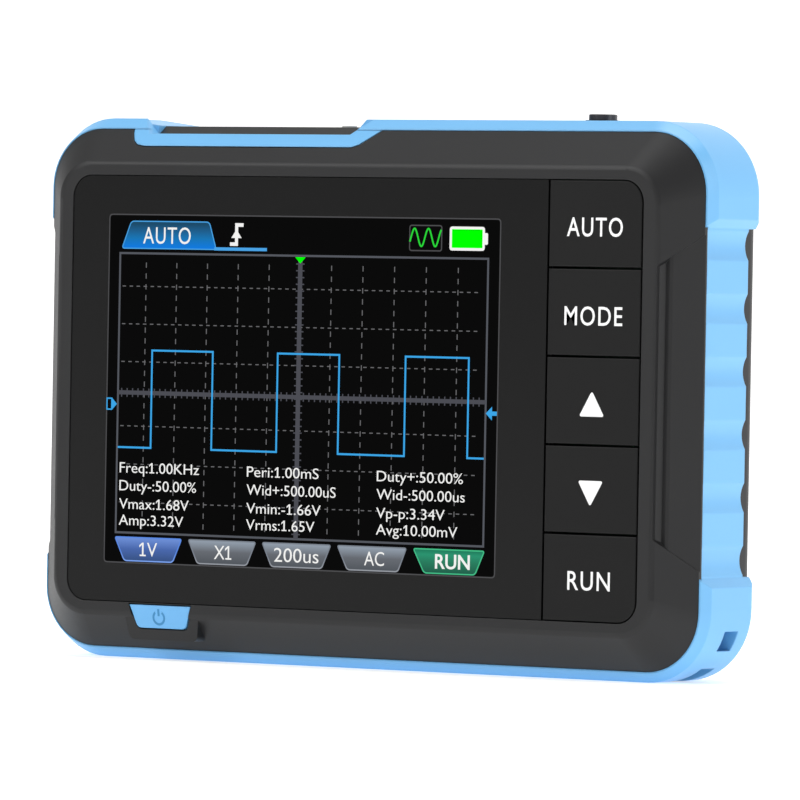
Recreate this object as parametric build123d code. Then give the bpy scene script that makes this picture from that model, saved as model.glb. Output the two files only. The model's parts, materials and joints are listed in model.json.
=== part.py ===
"""A pocket oscilloscope: two black half shells round a blue grip frame, with a screen, six keys and a stand.

Millimetres. +X is to the user's right, +Z is up and the screen faces -Y. The origin is under the
middle of the base, so the instrument stands on Z = 0. Outlines are drawn about the middle of the
front, and are placed in the XZ plane at that height.
"""

import os

from build123d import *

# Overall size
WIDTH = 99.0
HEIGHT = 68.3
DEPTH = 19.5
MID = HEIGHT / 2
FRONT = -DEPTH / 2
BACK = DEPTH / 2

# Front casing: a flat band round the panel, then a shoulder that slopes back to the rim
BAND = (89.0, 56.8, 4.6)
RIM = (97.2, 65.5, 7.4)
RIM_Y = FRONT + 4.3
RIM_EDGE = 0.6
FRONT_WALL_Y = FRONT + 2.2
SKIRT = (92.4, 60.9, 5.1)
SKIRT_WALL = 1.5
SKIRT_END_Y = -2.0
PANEL_CUT = (85.0, 53.8, 2.8)
PANEL_DEPTH = 1.2
WAIST_X = RIM[0] / 2
WAIST_HALF = 21.2
BEVEL_OUT = (RIM[0] - BAND[0]) / 2
BEVEL_SLOPE = (RIM_Y - FRONT) / BEVEL_OUT

# Screen
VIEW = (58.8, 44.0)
VIEW_X = -7.4
LENS_LEFT = -PANEL_CUT[0] / 2 + 0.1
LENS_RIGHT = 28.75
LENS_THICK = 1.1
LCD = (66.5, 49.5)
LCD_X = -7.35
LCD_FRONT = FRONT_WALL_Y + 0.3
LCD_THICK = 2.2

# Keys
KEY_GAP = 0.25
KEY_LEFT = LENS_RIGHT + KEY_GAP
KEY_RIGHT = PANEL_CUT[0] / 2 - KEY_GAP
KEY_NAMES = ("auto", "mode", "up", "down", "run")
KEY_PITCH = PANEL_CUT[1] / len(KEY_NAMES)
KEY_TRAVEL = 0.4
KEY_BACK_Y = FRONT_WALL_Y + 0.65
POWER_X = -28.05
POWER_TOP = -27.15
POWER_LOW = -30.05
POWER_SWITCH_Z = -26.1

# Main board and switches
BOARD = (87.6, 56.4, 4.0)
BOARD_FRONT = -3.4
BOARD_THICK = 1.2
BOARD_BACK = BOARD_FRONT + BOARD_THICK
SWITCH_SIZE = (4.0, 3.0, 1.6)
PLUNGER_R = 0.8
PLUNGER_TOP_Y = BOARD_FRONT - SWITCH_SIZE[2] - 0.7
RUNNING_GAP = 0.05

# Grip frame
FRAME_R = 9.0
FRAME_FRONT = RIM_Y
FRAME_BACK = 6.3
WAIST_BACK = 4.75
FRAME_NOSE = (97.6, 65.9, 7.6)
FRAME_SLOPE = 1.6
FRAME_EDGE = 1.0
WAVE_PITCH = 7.66
WAVE_DEPTH = 0.5
WAVE_R = 3.5
NOTCH_LEFT = -33.5
NOTCH_RIGHT = -3.0
NOTCH_FLOOR = 32.2
LIP_LOW = 30.6
PLATE = (-33.5, -3.0)
PLATE_TOP = 33.2
PLATE_Y = (-3.8, 4.4)
PLATE_FLOOR = 31.4
STRAP_Y = (0.0, 3.1)

# Rear cover
COVER = (94.4, 63.7, 6.4)
COVER_WALL = 1.6
COVER_FRONT = WAIST_BACK + 0.05

# Screws
SCREW_AT = [(x, z) for x in (-42.0, 42.0) for z in (-26.4, 26.4)]
SCREW_R = 1.0
SCREW_HEAD = (1.9, 1.4)
SCREW_SEAT_Y = 6.0
SCREW_LENGTH = 10.0
BOSS_SPLIT_Y = -0.9
BOARD_SCREW_AT = [(x, z) for x in (-12.0, 20.0) for z in (-26.4, 26.4)]
BOARD_SCREW_R = 0.8

# Stand
STAND = (58.0, 36.0)
STAND_THICK = 1.6
STAND_HINGE = (8.35, 8.0)
STAND_BARREL_R = 1.3
STAND_PIN_R = 0.75
STAND_POCKET_Y = BACK - STAND_THICK - 0.2
STAND_FLOOR_Y = 6.2

# Sockets on the top edge
JACK_X = 30.2
JACK_Y = 0.2
JACK_COLLAR_R = 1.75
JACK_BORE_R = 1.4
JACK_BORE_DEPTH = 2.4
JACK_CORE_R = 1.2
JACK_FLANGE_R = 2.15
JACK_TOP = MID + 0.85
USB_X = -20.0
USB = (8.94, 3.2, 7.3)
USB_Y = BOARD_BACK + USB[1] / 2
LED_X = -6.7
LED_PROUD = 0.2

# Battery
BATTERY = (50.0, 34.0, 4.6)
BATTERY_X = -13.0
BATTERY_BACK = STAND_FLOOR_Y - 0.15


def facing(y):
    """The plane at depth y that faces the user, with its origin at mid height."""
    return Plane(origin=(0, y, MID), x_dir=(1, 0, 0), z_dir=(0, -1, 0))


def slab(outline, y_front, y_back):
    """An outline drawn on the front, as a solid from y_front back to y_back."""
    return extrude(facing(y_back) * outline, amount=y_back - y_front)


def rounded(size, grow=0.0):
    """A rounded rectangle (width, height, corner radius), grown by a margin on every side."""
    width, height, radius = size
    return RectangleRounded(width + 2 * grow, height + 2 * grow, radius + grow)


def outline(*points):
    """A closed straight-sided outline."""
    return make_face(Polyline(*points, close=True))


def taper(front_size, back_size, y_front, y_back):
    """A solid that widens from one rounded rectangle to another."""
    return loft([facing(y_front) * rounded(front_size), facing(y_back) * rounded(back_size)])


def box(x, y, z):
    """A block given by its (low, high) spans, with z measured from mid height."""
    return Pos(sum(x) / 2, sum(y) / 2, MID + sum(z) / 2) * Box(x[1] - x[0], y[1] - y[0], z[1] - z[0])


def rod(x, z, radius, y_front, y_back):
    """A round bar along Y, with z measured from mid height."""
    return slab(Pos(x, z) * Circle(radius), y_front, y_back)


def post(x, y, radius, z_low, z_high):
    """A round bar along Z, with z measured from mid height."""
    return extrude(Plane.XY.offset(MID + z_low) * Pos(x, y) * Circle(radius), amount=z_high - z_low)


def hinge_rod(radius, length):
    """A round bar along the stand's hinge line."""
    hinge_y, hinge_z = STAND_HINGE
    return Pos(0, hinge_y, MID + hinge_z) * Rot(0, 90, 0) * Cylinder(radius, length)


def key_z(index):
    """The height of a key's middle above mid height."""
    return ((len(KEY_NAMES) - 1) / 2 - index) * KEY_PITCH


def power_outline(grow=0.0):
    """The power key's tapered face, narrower at its lower edge."""
    top, low = 4.65 + grow, 3.65 + grow
    face = outline(
        (POWER_X - top, POWER_TOP + grow),
        (POWER_X + top, POWER_TOP + grow),
        (POWER_X + low, POWER_LOW - grow),
        (POWER_X - low, POWER_LOW - grow),
    )
    return fillet(face.vertices().sort_by(Axis.Y)[:2], 0.8)


def power_landing():
    """The raised landing round the power key, which slopes less than the shoulder does."""
    side = Plane.YZ * outline(
        (FRONT + 0.05, MID + POWER_TOP + 0.3),
        (FRONT + 0.95, MID + POWER_LOW - 1.5),
        (RIM_Y - 0.6, MID + POWER_LOW - 1.5),
        (RIM_Y - 0.6, MID + POWER_TOP + 0.3),
    )
    wedge = Pos(POWER_X - 8, 0, 0) * extrude(side, amount=16)
    return wedge & slab(power_outline(1.5), FRONT - 1, RIM_Y)


def grip_pocket():
    """The shallow pocket in the right shoulder: a trough beside the band, then a flat that runs out."""
    inner = BAND[0] / 2 - 0.05
    depth = FRONT + (WAIST_X - inner) * BEVEL_SLOPE
    profile = Plane.XY * outline(
        (inner, FRONT - 1),
        (inner, FRONT + 0.75),
        (inner + 0.45, FRONT + 1.5),
        (inner + 1.0, FRONT + 1.5),
        (inner + 1.35, FRONT + 1.65),
        (WAIST_X + 0.3, depth + 0.55),
        (WAIST_X + 2, FRONT - 1),
    )
    span = extrude(profile, amount=HEIGHT)
    ends = outline((inner, 16.5), (WAIST_X + 1, 21.3), (WAIST_X + 1, -21.3), (inner, -16.5))
    return span & slab(ends, FRONT - 1, 0)


def lip_outline(grow=0.0):
    """The step that the blue lip makes across the front: down at the left, up a ramp at the right."""
    return outline(
        (NOTCH_LEFT - 3.2 - grow, RIM[1] / 2 + 1),
        (NOTCH_LEFT - 2.4 - grow, LIP_LOW + 1.6),
        (NOTCH_LEFT - 1.7 - grow * 0.9, LIP_LOW + 0.7 - grow * 0.4),
        (NOTCH_LEFT - 0.9 - grow * 0.4, LIP_LOW + 0.2 - grow * 0.9),
        (NOTCH_LEFT + 0.3, LIP_LOW - grow),
        (NOTCH_RIGHT + 1.2, LIP_LOW - grow),
        (NOTCH_RIGHT + 2.1 + grow * 0.3, LIP_LOW + 0.3 - grow),
        (NOTCH_RIGHT + 4.4 + grow * 0.7, RIM[1] / 2 - 0.7 * grow),
        (NOTCH_RIGHT + 5.2 + grow, RIM[1] / 2 + 1),
    )


def shoulder():
    """The casing's front without its openings: the slope from the band to the rim, and the rim's edge."""
    slope = taper(BAND, RIM, FRONT, RIM_Y)
    slope = fillet(slope.edges().group_by(Axis.Y)[0], 1.0)
    return slope + slab(rounded(RIM), RIM_Y, RIM_Y + RIM_EDGE)


def front_casing():
    """The front shell with its panel opening, key slot, side grip pockets and screw bosses."""
    shell = shoulder() + slab(rounded(SKIRT), RIM_Y + RIM_EDGE, SKIRT_END_Y)
    shell += power_landing()
    cavity_back = (SKIRT[0] - 2 * SKIRT_WALL, SKIRT[1] - 2 * SKIRT_WALL, SKIRT[2] - SKIRT_WALL)
    cavity_front = (cavity_back[0] - 2.2, cavity_back[1] - 2.9, cavity_back[2])
    shell -= taper(cavity_front, cavity_back, FRONT_WALL_Y, RIM_Y + RIM_EDGE)
    shell -= slab(rounded(cavity_back), RIM_Y + RIM_EDGE, SKIRT_END_Y)
    shell -= slab(rounded(PANEL_CUT), FRONT - 1, FRONT + PANEL_DEPTH)
    window = Pos(VIEW_X, 0) * Rectangle(VIEW[0] + 2, VIEW[1] + 2)
    shell -= slab(window, FRONT, FRONT_WALL_Y + 1)
    key_hole = box((LENS_RIGHT + 0.05, PANEL_CUT[0] / 2), (FRONT, FRONT_WALL_Y + 1), (-26.9, 26.9))
    shell -= key_hole & slab(rounded(PANEL_CUT), FRONT, FRONT_WALL_Y + 1)
    shell -= slab(power_outline(0.15), FRONT - 1, RIM_Y - 0.4)
    pocket = grip_pocket()
    shell -= pocket
    shell -= mirror(pocket, Plane.YZ)
    shell -= slab(lip_outline(0.12), FRONT, RIM_Y + RIM_EDGE)
    shell -= box((USB_X - 4.7, USB_X + 4.7), (BOARD_BACK - 0.1, SKIRT_END_Y), (28.0, 32.0))
    cavity = slab(rounded(SKIRT), RIM_Y - 0.5, BOSS_SPLIT_Y)
    for x, z in SCREW_AT:
        shell += rod(x, z, 2.0, RIM_Y - 0.5, BOSS_SPLIT_Y) & cavity
        shell -= rod(x, z, SCREW_R + 0.02, RIM_Y + 0.5, BOSS_SPLIT_Y)
    for x, z in BOARD_SCREW_AT:
        shell += rod(x, z, 1.6, FRONT_WALL_Y - 0.2, BOARD_FRONT)
        shell -= rod(x, z, BOARD_SCREW_R + 0.02, FRONT_WALL_Y + 0.8, BOARD_FRONT)
    return shell


def grip_frame():
    """The blue frame: full corners, a waist with finger waves, and a step down for the socket plate."""
    full = (WIDTH, HEIGHT, FRAME_R)
    ring = slab(rounded(full), FRAME_FRONT + FRAME_SLOPE, FRAME_BACK)
    ring = fillet(ring.edges().group_by(Axis.Y)[-1], FRAME_EDGE)
    ring += taper(FRAME_NOSE, full, FRAME_FRONT, FRAME_FRONT + FRAME_SLOPE)
    waist = outline(
        (WAIST_X, WAIST_HALF),
        (WAIST_X + 1.6, WAIST_HALF + 2.0),
        (WAIST_X + 4, WAIST_HALF + 2.0),
        (WAIST_X + 4, -WAIST_HALF - 2.0),
        (WAIST_X + 1.6, -WAIST_HALF - 2.0),
        (WAIST_X, -WAIST_HALF),
    )
    cut = slab(waist, FRAME_FRONT - 1, FRAME_BACK + 1)
    cut += box((SKIRT[0] / 2 - 1, WIDTH), (WAIST_BACK, FRAME_BACK + 1), (-WAIST_HALF, WAIST_HALF))
    for step in (-2.5, -1.5, -0.5, 0.5, 1.5, 2.5):
        centre_x = WAIST_X + WAVE_R - WAVE_DEPTH
        cut += rod(centre_x, step * WAVE_PITCH, WAVE_R, FRAME_FRONT - 1, FRAME_BACK + 1)
    ring -= cut
    ring -= mirror(cut, Plane.YZ)
    ring -= slab(rounded(SKIRT, 0.1), FRAME_FRONT - 1, FRAME_BACK + 1)
    ring -= slab(rounded(RIM, 0.05), FRAME_FRONT - 1, RIM_Y + RIM_EDGE + 0.02)
    ring -= slab(rounded(COVER, 0.08), COVER_FRONT - 0.02, FRAME_BACK + 1)
    ring -= slab(
        outline(
            (NOTCH_LEFT - 2.8, MID + 1),
            (NOTCH_LEFT, NOTCH_FLOOR),
            (NOTCH_RIGHT, NOTCH_FLOOR),
            (NOTCH_RIGHT + 3.3, MID + 1),
        ),
        FRAME_FRONT - 1,
        PLATE_Y[0] + 0.01,
    )
    ring -= slab(
        outline(
            (NOTCH_LEFT - 6.5, MID),
            (NOTCH_LEFT + 0.5, PLATE_TOP),
            (PLATE[1] + 0.05, PLATE_TOP),
            (PLATE[1] + 2.0, MID + 1),
            (NOTCH_LEFT - 6.5, MID + 1),
        ),
        PLATE_Y[0],
        FRAME_BACK + 1,
    )
    lip = slab(lip_outline(), FRONT, RIM_Y + RIM_EDGE + 0.2) & (
        shoulder() + slab(rounded(RIM), RIM_Y + RIM_EDGE, RIM_Y + 2)
    )
    lip -= slab(
        outline(
            (NOTCH_LEFT - 3.3, MID + 2),
            (NOTCH_LEFT, NOTCH_FLOOR),
            (NOTCH_RIGHT, NOTCH_FLOOR),
            (NOTCH_RIGHT + 4.3, MID + 2),
        ),
        FRONT - 1,
        FRAME_BACK,
    )
    ring += lip
    plate_x = (PLATE[0] - 0.05, PLATE[1] + 0.05)
    plate_y = (PLATE_Y[0] - 0.05, PLATE_Y[1] + 0.05)
    ring -= box(plate_x, plate_y, (PLATE_FLOOR, MID + 2))
    ring -= box((USB_X - 4.7, USB_X + 4.7), (USB_Y - 1.85, USB_Y + 1.85), (29.0, 32.0))
    ring -= post(LED_X, USB_Y, 1.05, 29.0, 32.0)
    ring -= post(JACK_X, JACK_Y, JACK_FLANGE_R + 0.05, 29.0, MID + 1)
    strap_side = box((43.5, 51.0), STRAP_Y, (-30.15, -27.75))
    strap_low = box((38.5, 45.8), STRAP_Y, (-36.0, -30.4))
    strap_turn = box((43.4, 45.6), STRAP_Y, (-30.8, -28.6))
    return ring - strap_side - strap_low - strap_turn


def rear_cover():
    """The rear shell with its bosses, its skirt inside the frame, and the stand's pocket and trough."""
    shell = slab(rounded(COVER), COVER_FRONT, BACK)
    shell = fillet(shell.edges().group_by(Axis.Y)[-1], 2.2)
    shell += slab(rounded(SKIRT), SKIRT_END_Y + 0.05, COVER_FRONT)
    inside = (SKIRT[0] - 2 * SKIRT_WALL, SKIRT[1] - 2 * SKIRT_WALL, SKIRT[2] - SKIRT_WALL)
    shell -= slab(rounded(inside), SKIRT_END_Y - 1, BACK - COVER_WALL)
    hinge_z = STAND_HINGE[1]
    shell += box((-33.0, 33.0), (STAND_FLOOR_Y, BACK - COVER_WALL), (-30.0, 12.5))
    pocket = Pos(0, hinge_z - STAND[1] / 2 + 0.6) * Rectangle(STAND[0] + 0.4, STAND[1] + 2.2)
    shell -= slab(fillet(pocket.vertices(), 1.2), STAND_POCKET_Y, BACK + 1)
    shell -= hinge_rod(STAND_BARREL_R + 0.2, STAND[0] + 0.4)
    shell -= hinge_rod(STAND_PIN_R, STAND[0] + 5)
    nail_z = hinge_z - STAND[1]
    shell -= box((-6.0, 6.0), (STAND_POCKET_Y - 0.8, BACK + 1), (nail_z - 2.8, nail_z + 2.0))
    for x, z in SCREW_AT:
        shell += rod(x, z, 2.2, BOSS_SPLIT_Y + 0.05, BACK - COVER_WALL) & slab(rounded(SKIRT), -1.5, BACK)
        shell -= rod(x, z, SCREW_R + 0.1, BOSS_SPLIT_Y - 1, BACK)
        shell -= rod(x, z, SCREW_HEAD[0] + 0.1, SCREW_SEAT_Y - SCREW_HEAD[1] - 0.05, BACK + 1)
    shell -= box((PLATE[0], PLATE[1]), (SKIRT_END_Y, PLATE_Y[1]), (28.0, 32.0))
    shell -= post(JACK_X, JACK_Y, JACK_COLLAR_R + 0.1, 26.0, 32.0)
    left = BATTERY_X - BATTERY[0] / 2 - 1.3
    right = BATTERY_X + BATTERY[0] / 2 + 0.3
    for x, rib_back in ((left, BACK - COVER_WALL), (right, STAND_FLOOR_Y + 0.5)):
        shell += box((x, x + 1.0), (3.0, rib_back), (-12.0, 12.0))
    return shell


def screen_lens():
    """The clear panel over the screen, square at the keys and rounded at the left."""
    width = LENS_RIGHT - LENS_LEFT
    face = Pos((LENS_LEFT + LENS_RIGHT) / 2, 0) * Rectangle(width, PANEL_CUT[1] - 0.2)
    left = face.vertices().sort_by(Axis.X)[:2]
    return slab(fillet(left, PANEL_CUT[2] - 0.1), FRONT + 0.1, FRONT + 0.1 + LENS_THICK)


def screen_parts():
    """The gasket, the display glass, its backlight tray, the flat cable, its socket and the foam pads."""
    rim = Pos(VIEW_X, 0) * Rectangle(VIEW[0] + 4.4, VIEW[1] + 4.4)
    hole = Pos(VIEW_X, 0) * Rectangle(VIEW[0] + 2, VIEW[1] + 2)
    glass = Pos(LCD_X, 0) * Rectangle(LCD[0] - 1.0, LCD[1] - 1.0)
    tray = Pos(LCD_X, 0) * Rectangle(*LCD)
    back = LCD_FRONT + LCD_THICK
    tray_solid = slab(tray, LCD_FRONT + 0.2, back) - slab(glass, LCD_FRONT, back - 0.5)
    flex_x = LCD_X - LCD[0] / 2 + 6.0
    flex = box((flex_x, flex_x + 12.0), (back + 0.05, back + 0.2), (-9.0, 9.0))
    socket = box((flex_x + 12.0, flex_x + 15.0), (back + 0.05, BOARD_FRONT), (-9.5, 9.5))
    pads = [box((x, x + 4.0), (back, BOARD_FRONT), (-20.0, -14.0)) for x in (-36.0, 16.0)]
    pads += [box((x, x + 4.0), (back, BOARD_FRONT), (14.0, 20.0)) for x in (-36.0, 16.0)]
    return {
        "screen_gasket": slab(rim - hole, FRONT_WALL_Y, LCD_FRONT),
        "lcd_glass": slab(glass, LCD_FRONT, back - 0.5),
        "lcd_backlight_tray": tray_solid,
        "lcd_flat_cable": flex,
        "lcd_cable_socket": socket,
        "lcd_foam_pads": Compound(children=pads),
    }


def main_board():
    """The circuit board, cut back round the casing's corner bosses."""
    board = slab(rounded(BOARD), BOARD_FRONT, BOARD_BACK)
    for x, z in SCREW_AT:
        board -= rod(x, z, 2.3, BOARD_FRONT - 1, BOARD_BACK + 1)
    for x, z in BOARD_SCREW_AT:
        board -= rod(x, z, BOARD_SCREW_R + 0.1, BOARD_FRONT - 1, BOARD_BACK + 1)
    return board


def chips():
    """What stands on the back of the board: (x, z, width, height above the board, length)."""
    table = {
        "microcontroller": (-27.0, -22.0, 7.0, 0.9, 7.0),
        "signal_converter": (28.0, 8.0, 5.0, 0.9, 5.0),
        "memory_chip": (-4.0, -22.0, 5.2, 1.0, 4.0),
        "charger_chip": (-30.0, 22.0, 3.0, 0.9, 3.0),
        "power_inductor": (-36.5, 21.0, 4.0, 1.8, 4.0),
        "crystal": (-20.0, -22.5, 2.0, 0.7, 2.5),
        "coupling_relay": (34.5, 12.0, 5.7, 4.0, 9.0),
        "trimmer_capacitor": (26.0, 17.0, 3.2, 1.6, 4.0),
    }
    made = {}
    for name, (x, z, width, tall, length) in table.items():
        spans = (x - width / 2, x + width / 2), (BOARD_BACK, BOARD_BACK + tall)
        made[name] = box(*spans, (z - length / 2, z + length / 2))
    amplifiers = [(20.0, 14.0), (20.0, 7.0), (28.0, 1.0)]
    on_board = (BOARD_BACK, BOARD_BACK + 1.0)
    blocks = [box((x - 1.5, x + 1.5), on_board, (z - 1.5, z + 1.5)) for x, z in amplifiers]
    made["amplifier_chips"] = Compound(children=blocks)
    tin = box((17.0, 38.0), (BOARD_BACK, BOARD_BACK + 2.6), (-22.0, -6.0))
    made["shield_can"] = tin - box((17.2, 37.8), (BOARD_BACK - 1, BOARD_BACK + 2.4), (-21.8, -6.2))
    return made


def key(index):
    """A flat key with side flanges behind the casing and a post that bears on its switch."""
    z = key_z(index)
    half = (KEY_PITCH - KEY_GAP) / 2
    face = Pos((KEY_LEFT + KEY_RIGHT) / 2, z) * Rectangle(KEY_RIGHT - KEY_LEFT, 2 * half)
    right = face.vertices().sort_by(Axis.X)[2:]
    if index == 0:
        face = fillet([right.sort_by(Axis.Y)[1]], 2.6)
    if index == len(KEY_NAMES) - 1:
        face = fillet([right.sort_by(Axis.Y)[0]], 2.6)
    cap = slab(face, FRONT + 0.05, KEY_BACK_Y)
    cap = fillet(cap.edges().group_by(Axis.Y)[0], 0.15)
    cap += box((KEY_LEFT - 0.9, KEY_RIGHT + 0.9), (FRONT_WALL_Y + 0.05, KEY_BACK_Y), (z - 3.2, z + 3.2))
    return cap + rod((KEY_LEFT + KEY_RIGHT) / 2, z, 1.5, KEY_BACK_Y, PLUNGER_TOP_Y)


def power_key():
    """The blue power key: its face slopes with the landing, and a lever plate reaches up to the switch."""
    face = slab(power_outline(), FRONT - 1, FRONT_WALL_Y + 0.3)
    slope = Plane.YZ * outline(
        (FRONT - 0.02, MID + POWER_TOP + 0.3),
        (FRONT + 0.55, MID + POWER_LOW - 0.3),
        (0.0, MID + POWER_LOW - 0.3),
        (0.0, MID + POWER_TOP + 0.3),
    )
    cap = face & (Pos(POWER_X - 8, 0, 0) * extrude(slope, amount=16))
    cap = fillet(cap.edges().group_by(Axis.Y)[0], 0.12)
    plate_y = (FRONT_WALL_Y + 0.25, FRONT_WALL_Y + 0.85)
    cap += box((POWER_X - 3.4, POWER_X + 3.4), plate_y, (POWER_LOW + 0.3, -25.1))
    return cap + rod(POWER_X, POWER_SWITCH_Z, 0.95, plate_y[1], PLUNGER_TOP_Y)


def switch(x, z):
    """A tactile switch on the board: its body with a blind hole, and the plunger that fits the hole."""
    width, height, tall = SWITCH_SIZE
    top = BOARD_FRONT - tall
    body = box((x - width / 2, x + width / 2), (top, BOARD_FRONT), (z - height / 2, z + height / 2))
    body -= rod(x, z, PLUNGER_R + RUNNING_GAP, top - 1, top + 1.2)
    return body, rod(x, z, PLUNGER_R, PLUNGER_TOP_Y, top + 0.7)


def sockets():
    """The probe jack, its insulator, contact and ring nut, the charging socket and the status light."""
    body = box((JACK_X - 2.6, JACK_X + 2.6), (BOARD_BACK, BOARD_BACK + 4.8), (23.0, 28.4))
    body += post(JACK_X, JACK_Y, JACK_COLLAR_R, 28.0, JACK_TOP)
    body = fillet(body.edges().filter_by(GeomType.CIRCLE).sort_by(Axis.Z)[-1:], 0.15)
    bore_floor = JACK_TOP - JACK_BORE_DEPTH
    body -= post(JACK_X, JACK_Y, JACK_BORE_R, bore_floor, MID + 2)
    body -= post(JACK_X, JACK_Y, JACK_CORE_R, 24.0, bore_floor)
    shell_x = (USB_X - USB[0] / 2, USB_X + USB[0] / 2)
    shell = box(shell_x, (BOARD_BACK, BOARD_BACK + USB[1]), (25.8, PLATE_TOP - 0.1))
    shell = fillet(shell.edges().filter_by(Axis.Z), 1.45)
    mouth = box((USB_X - 4.17, USB_X + 4.17), (USB_Y - 1.28, USB_Y + 1.28), (26.8, PLATE_TOP + 1))
    mouth = fillet(mouth.edges().filter_by(Axis.Z), 1.2)
    tongue = box((USB_X - 3.3, USB_X + 3.3), (USB_Y - 0.35, USB_Y + 0.35), (26.8, PLATE_TOP - 1.0))
    insulator = post(JACK_X, JACK_Y, JACK_CORE_R, 24.0, bore_floor)
    nut = post(JACK_X, JACK_Y, JACK_FLANGE_R, MID - 1.2, MID + 0.12)
    return {
        "probe_jack": body,
        "jack_insulator": insulator - post(JACK_X, JACK_Y, 0.4, 23.5, bore_floor + 1),
        "jack_contact": post(JACK_X, JACK_Y, 0.4, 24.0, bore_floor),
        "jack_ring_nut": nut - post(JACK_X, JACK_Y, JACK_COLLAR_R, MID - 2, MID + 1),
        "usb_shell": shell - mouth,
        "usb_tongue": tongue,
        "charge_led": box((LED_X - 0.8, LED_X + 0.8), (BOARD_BACK, BOARD_BACK + 0.7), (27.0, 27.8)),
        "led_light_pipe": post(LED_X, USB_Y, 0.95, 28.2, PLATE_TOP + LED_PROUD),
    }


def interface_plate():
    """The black plate round the sockets, with its front edge chamfered down to the blue lip."""
    side = Plane.YZ * outline(
        (PLATE_Y[0], MID + PLATE_FLOOR),
        (PLATE_Y[0], MID + NOTCH_FLOOR),
        (PLATE_Y[0] + 1.4, MID + PLATE_TOP),
        (PLATE_Y[1], MID + PLATE_TOP),
        (PLATE_Y[1], MID + PLATE_FLOOR),
    )
    plate = Pos(PLATE[0], 0, 0) * extrude(side, amount=PLATE[1] - PLATE[0])
    hole = box((USB_X - 4.57, USB_X + 4.57), (BOARD_BACK - 0.08, BOARD_BACK + USB[1] + 0.08), (29.0, 36.0))
    plate -= fillet(hole.edges().filter_by(Axis.Z), 1.5)
    return plate - post(LED_X, USB_Y, 1.0, 29.0, 36.0)


def tube(radius, *points):
    """A wire along straight runs joined by arcs."""
    runs = [Vector(b) - Vector(a) for a, b in zip(points, points[1:])]
    radii = []
    for before, after in zip(runs, runs[1:]):
        half_turn = before.get_angle(after) / 2
        radii.append(0.45 * min(before.length, after.length) / tan_degrees(half_turn))
    path = FilletPolyline(*points, radius=radii)
    return sweep(Plane(origin=path @ 0, z_dir=path % 0) * Circle(radius), path=path)


def tan_degrees(angle):
    """The tangent of half a turn, from the cosine of the whole one."""
    turn = Vector(1, 0, 0).rotate(Axis.Z, angle)
    return turn.Y / turn.X


def battery_parts():
    """The flat lithium cell, its tape, its two leads and their plug and socket."""
    width, height, thick = BATTERY
    x = (BATTERY_X - width / 2, BATTERY_X + width / 2)
    front = BATTERY_BACK - thick
    cell = fillet(box(x, (front, BATTERY_BACK), (-height / 2, height / 2)).edges().filter_by(Axis.Z), 1.6)
    plug_x = x[1] + 6.2
    parts = {
        "battery_cell": cell,
        "battery_tape": box((x[0] + 5, x[1] - 5), (BATTERY_BACK, STAND_FLOOR_Y), (-12.0, 12.0)),
        "battery_socket": box((plug_x - 2.4, plug_x + 2.4), (BOARD_BACK, BOARD_BACK + 1.4), (-4.0, 1.0)),
        "battery_plug": box((plug_x - 2.0, plug_x + 2.0), (BOARD_BACK + 1.4, BOARD_BACK + 4.0), (-3.4, 0.4)),
    }
    plug_y = BOARD_BACK + 2.7
    for name, offset in (("red", 0.9), ("black", -0.9)):
        lead_x = plug_x + offset
        lead_z = MID + 14.4 + offset
        parts[f"battery_lead_{name}"] = tube(
            0.4,
            (x[1], BATTERY_BACK - thick / 2, lead_z),
            (lead_x, BATTERY_BACK - thick / 2 - 0.6, lead_z),
            (lead_x, plug_y, MID + 0.4),
        )
    return parts


def case_screws():
    """Four screws from the back, with cross slots."""
    made = []
    for x, z in SCREW_AT:
        head = rod(x, z, SCREW_HEAD[0], SCREW_SEAT_Y - SCREW_HEAD[1], SCREW_SEAT_Y)
        head -= box((x - 1.1, x + 1.1), (SCREW_SEAT_Y - 0.7, SCREW_SEAT_Y + 1), (z - 0.22, z + 0.22))
        head -= box((x - 0.22, x + 0.22), (SCREW_SEAT_Y - 0.7, SCREW_SEAT_Y + 1), (z - 1.1, z + 1.1))
        shank_front = SCREW_SEAT_Y - SCREW_HEAD[1] - SCREW_LENGTH + 1.5
        made.append(head + rod(x, z, SCREW_R, shank_front, SCREW_SEAT_Y - SCREW_HEAD[1]))
    return Compound(children=made)


def board_screws():
    """Four short screws that hold the board to the front casing."""
    made = []
    for x, z in BOARD_SCREW_AT:
        head = rod(x, z, 1.5, BOARD_BACK, BOARD_BACK + 0.9)
        head -= box((x - 0.9, x + 0.9), (BOARD_BACK + 0.4, BOARD_BACK + 2), (z - 0.2, z + 0.2))
        made.append(head + rod(x, z, BOARD_SCREW_R, BOARD_BACK - 4.0, BOARD_BACK))
    return Compound(children=made)


def stand():
    """The fold-out stand: a plate grooved inside, hung from a barrel at its top edge."""
    hinge_z = STAND_HINGE[1]
    width, height = STAND
    middle = hinge_z - height / 2
    plate = fillet((Pos(0, middle) * Rectangle(width, height)).vertices().sort_by(Axis.Y)[:2], 4.0)
    groove_y = (0, BACK - STAND_THICK + 0.15)
    grooves = [box((-22.0, 22.0), groove_y, (z - 1.0, z + 1.0)) for z in (-4.0, -10.0, -16.0)]
    leaf = slab(plate, BACK - STAND_THICK - 0.05, BACK - 0.05)
    leaf -= grooves
    leaf -= box((-width, width), (0, BACK + 1), (hinge_z - 0.2, hinge_z + 3))
    leaf += hinge_rod(STAND_BARREL_R, width)
    return leaf - hinge_rod(STAND_PIN_R + RUNNING_GAP, width + 1)


def stand_pin():
    """The steel pin through the stand's barrel, held at both ends by the rear cover."""
    return hinge_rod(STAND_PIN_R, STAND[0] + 4.6)


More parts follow.
